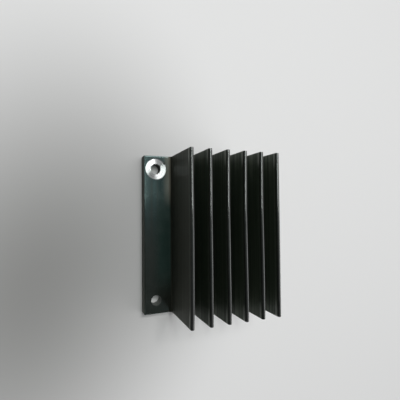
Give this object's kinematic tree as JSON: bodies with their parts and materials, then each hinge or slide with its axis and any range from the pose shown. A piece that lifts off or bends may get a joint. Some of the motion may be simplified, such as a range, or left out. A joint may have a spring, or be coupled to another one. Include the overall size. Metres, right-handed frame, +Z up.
{
  "type": "extruded plate fin heat sink",
  "caption": "Black anodised aluminium extrusion with tall straight fins on a thick base, and a drilled mounting flange with a bare spot face along one side.",
  "frame": {"origin": "centre of the flat mounting face under the base plate", "axes": "+X across the fins, away from the mounting flange; +Y along the fins, towards the spot faced hole; +Z up, from the mounting face to the fin tips"},
  "size_m": [0.061, 0.08, 0.035],
  "materials": {
    "black_anodised_aluminium": "black anodised, die lines along the fins, bare machined spot face"
  },
  "bodies": {
    "root": {"heat_sink": "black_anodised_aluminium"}
  },
  "joints": []
}
